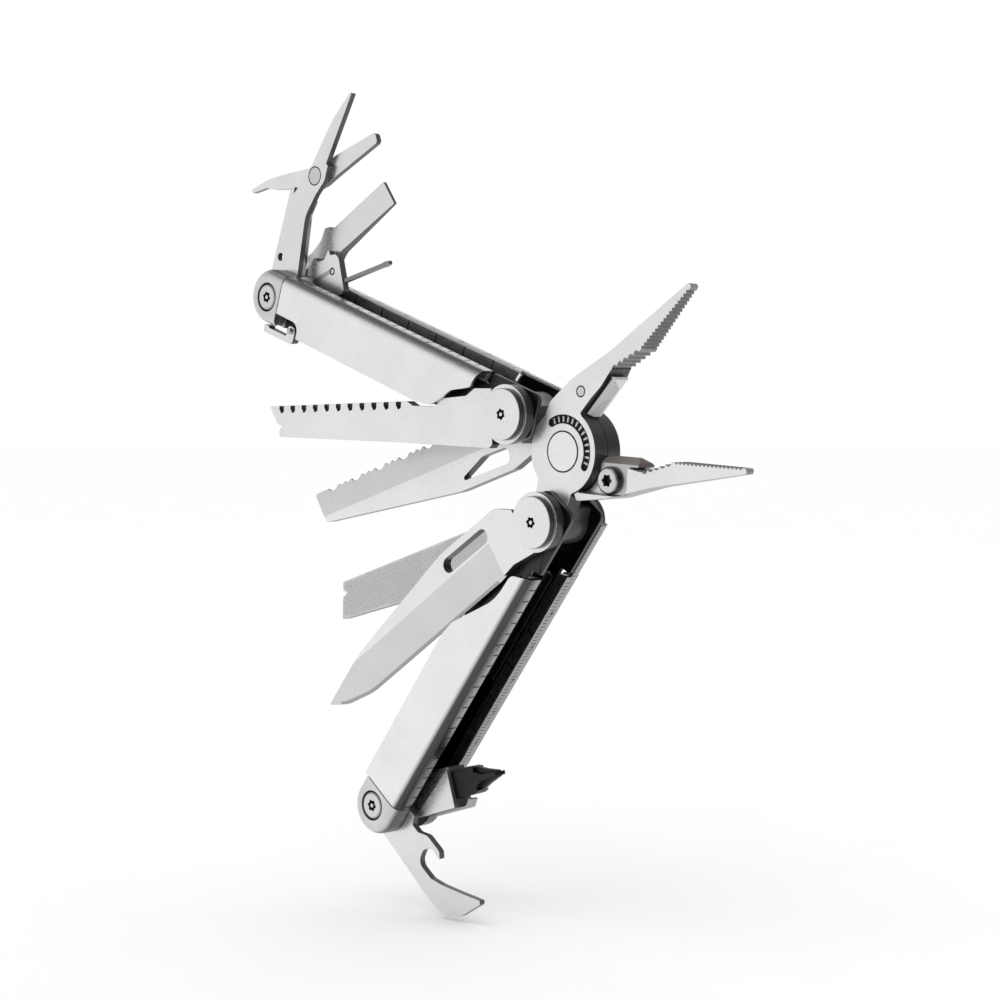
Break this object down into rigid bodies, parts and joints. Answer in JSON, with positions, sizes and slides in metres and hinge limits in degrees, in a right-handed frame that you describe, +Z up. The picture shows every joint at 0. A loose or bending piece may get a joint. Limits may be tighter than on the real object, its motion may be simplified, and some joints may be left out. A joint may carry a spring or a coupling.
{
  "type": "folding multi tool",
  "caption": "Folding steel multi tool, fanned open: needle-nose pliers on two channel handles with blades, a saw, a file, scissors, openers and drivers on pivots.",
  "frame": {"origin": "middle of the plier pivot, on the middle plane of the tool", "axes": "+Z up along the tool's longest extent, -Y is the front face, +X towards the jaw tips"},
  "size_m": [0.1564, 0.018, 0.1917],
  "materials": {
    "jaw_steel": "satin, fine grain along the jaw",
    "cutter_steel": "dark hardened, ground edge",
    "screw_steel": "domed, turned",
    "rivet_steel": "turned rings",
    "frame_steel": "brushed",
    "cover_steel": "fine satin",
    "lock_steel": "brushed sheet",
    "washer_steel": "oiled",
    "spring_steel": "brushed sheet",
    "blade_steel": "satin flats, lighter ground bevels",
    "file_steel": "cross cut",
    "tool_steel": "satin",
    "black_steel": "matt black oxide",
    "bit_steel": "drawn wire, dark tip"
  },
  "bodies": {
    "jaw_a": {"jaw_a": "jaw_steel", "plier_rivet": "rivet_steel", "cutter_insert_a": "cutter_steel", "insert_screw_a": "screw_steel"},
    "jaw_b": {"jaw_b": "jaw_steel", "cutter_insert_b": "cutter_steel", "insert_screw_b": "screw_steel"},
    "handle_a": {"handle_a_frame": "frame_steel", "handle_a_cover_front": "cover_steel", "handle_a_cover_rear": "cover_steel", "handle_a_pivot_bolt": "rivet_steel", "handle_a_pivot_disc": "rivet_steel", "handle_a_washers": "washer_steel", "handle_a_tool_screw": "screw_steel", "handle_a_tool_nut": "screw_steel", "handle_a_tool_spring": "spring_steel"},
    "handle_b": {"handle_b_frame": "frame_steel", "handle_b_cover_front": "cover_steel", "handle_b_cover_rear": "cover_steel", "handle_b_pivot_bolt": "rivet_steel", "handle_b_pivot_disc": "rivet_steel", "handle_b_washers": "washer_steel", "handle_b_tool_screw": "screw_steel", "handle_b_tool_nut": "screw_steel", "handle_b_tool_spring": "spring_steel", "lanyard_pin": "screw_steel"},
    "lock_a_front": {"handle_a_lock_front": "lock_steel"},
    "lock_a_rear": {"handle_a_lock_rear": "lock_steel"},
    "lock_b_front": {"handle_b_lock_front": "lock_steel"},
    "lock_b_rear": {"handle_b_lock_rear": "lock_steel"},
    "knife": {"knife": "blade_steel"},
    "file": {"file": "file_steel"},
    "saw": {"saw": "blade_steel"},
    "serrated_blade": {"serrated_blade": "blade_steel"},
    "can_opener": {"can_opener": "tool_steel"},
    "bit_driver": {"bit_driver": "tool_steel", "bit_clip": "spring_steel"},
    "large_bit": {"large_bit": "black_steel"},
    "scissors": {"scissors_frame": "tool_steel", "scissors_rivet": "screw_steel", "scissors_spring": "spring_steel"},
    "scissors_blade": {"scissors_blade": "tool_steel"},
    "flat_driver": {"flat_driver": "tool_steel"},
    "small_driver": {"small_driver": "tool_steel", "small_driver_wire": "spring_steel"},
    "small_bit": {"small_bit": "bit_steel"},
    "lanyard_ring": {"lanyard_ring": "tool_steel"}
  },
  "joints": [
    {"name": "plier_pivot", "type": "hinge", "parent": "jaw_a", "child": "jaw_b", "pos_m": [0, 0, 0], "axis": [0, 1, 0], "range_deg": [-8, 5]},
    {"name": "handle_a_pivot", "type": "hinge", "parent": "jaw_a", "child": "handle_a", "pos_m": [-0.0049, 0, -0.01534], "axis": [0, -1, 0], "range_deg": [-9, 110]},
    {"name": "handle_b_pivot", "type": "hinge", "parent": "jaw_b", "child": "handle_b", "pos_m": [-0.01397, 0, 0.008], "axis": [0, 1, 0], "range_deg": [-2, 110]},
    {"name": "knife_pivot", "type": "hinge", "parent": "handle_a", "child": "knife", "pos_m": [-0.0049, 0, -0.01534], "axis": [0, 1, 0], "range_deg": [-19, 34]},
    {"name": "file_pivot", "type": "hinge", "parent": "handle_a", "child": "file", "pos_m": [-0.0049, 0, -0.01534], "axis": [0, 1, 0], "range_deg": [-36.5, 6]},
    {"name": "saw_pivot", "type": "hinge", "parent": "handle_b", "child": "saw", "pos_m": [-0.01397, 0, 0.008], "axis": [0, -1, 0], "range_deg": [-11.3, 34]},
    {"name": "serrated_blade_pivot", "type": "hinge", "parent": "handle_b", "child": "serrated_blade", "pos_m": [-0.01397, 0, 0.008], "axis": [0, -1, 0], "range_deg": [-36.5, 6]},
    {"name": "can_opener_pivot", "type": "hinge", "parent": "handle_a", "child": "can_opener", "pos_m": [-0.05665, 0, -0.08402], "axis": [0, 1, 0], "range_deg": [-90, 90]},
    {"name": "bit_driver_pivot", "type": "hinge", "parent": "handle_a", "child": "bit_driver", "pos_m": [-0.05665, 0, -0.08402], "axis": [0, 1, 0], "range_deg": [-35, 145]},
    {"name": "large_bit_slide", "type": "slide", "parent": "bit_driver", "child": "large_bit", "axis": [0.9511, 0, 0.309], "range_m": [0, 0.012]},
    {"name": "scissors_pivot", "type": "hinge", "parent": "handle_b", "child": "scissors", "pos_m": [-0.09504, 0, 0.03671], "axis": [0, -1, 0], "range_deg": [-45, 92]},
    {"name": "scissors_squeeze", "type": "hinge", "parent": "scissors", "child": "scissors_blade", "pos_m": [-0.08239, 0, 0.06569], "axis": [0, -1, 0], "range_deg": [0, 32], "stiffness_Nm_per_rad": 0.05},
    {"name": "flat_driver_pivot", "type": "hinge", "parent": "handle_b", "child": "flat_driver", "pos_m": [-0.09504, 0, 0.03671], "axis": [0, -1, 0], "range_deg": [-53, 127]},
    {"name": "small_driver_pivot", "type": "hinge", "parent": "handle_b", "child": "small_driver", "pos_m": [-0.09504, 0, 0.03671], "axis": [0, -1, 0], "range_deg": [-32, 148]},
    {"name": "small_bit_slide", "type": "slide", "parent": "small_driver", "child": "small_bit", "axis": [0.9763, 0, 0.2164], "range_m": [0, 0.012]},
    {"name": "lanyard_ring_pivot", "type": "hinge", "parent": "handle_b", "child": "lanyard_ring", "pos_m": [-0.08735, -0.0066, 0.02815], "axis": [0, -1, 0], "range_deg": [0, 90]},
    {"name": "lock_a_front_flex", "type": "hinge", "parent": "handle_a", "child": "lock_a_front", "pos_m": [-0.0303, -0.00515, -0.05254], "axis": [0.7986, 0, -0.6018], "range_deg": [0, 2], "stiffness_Nm_per_rad": 0.3},
    {"name": "lock_a_rear_flex", "type": "hinge", "parent": "handle_a", "child": "lock_a_rear", "pos_m": [-0.0303, 0.00515, -0.05254], "axis": [-0.7986, 0, 0.6018], "range_deg": [0, 2], "stiffness_Nm_per_rad": 0.3},
    {"name": "lock_b_front_flex", "type": "hinge", "parent": "handle_b", "child": "lock_b_front", "pos_m": [-0.05569, -0.00515, 0.025], "axis": [-0.3338, 0, -0.9426], "range_deg": [0, 2], "stiffness_Nm_per_rad": 0.3},
    {"name": "lock_b_rear_flex", "type": "hinge", "parent": "handle_b", "child": "lock_b_rear", "pos_m": [-0.05569, 0.00515, 0.025], "axis": [0.3338, 0, 0.9426], "range_deg": [0, 2], "stiffness_Nm_per_rad": 0.3}
  ]
}
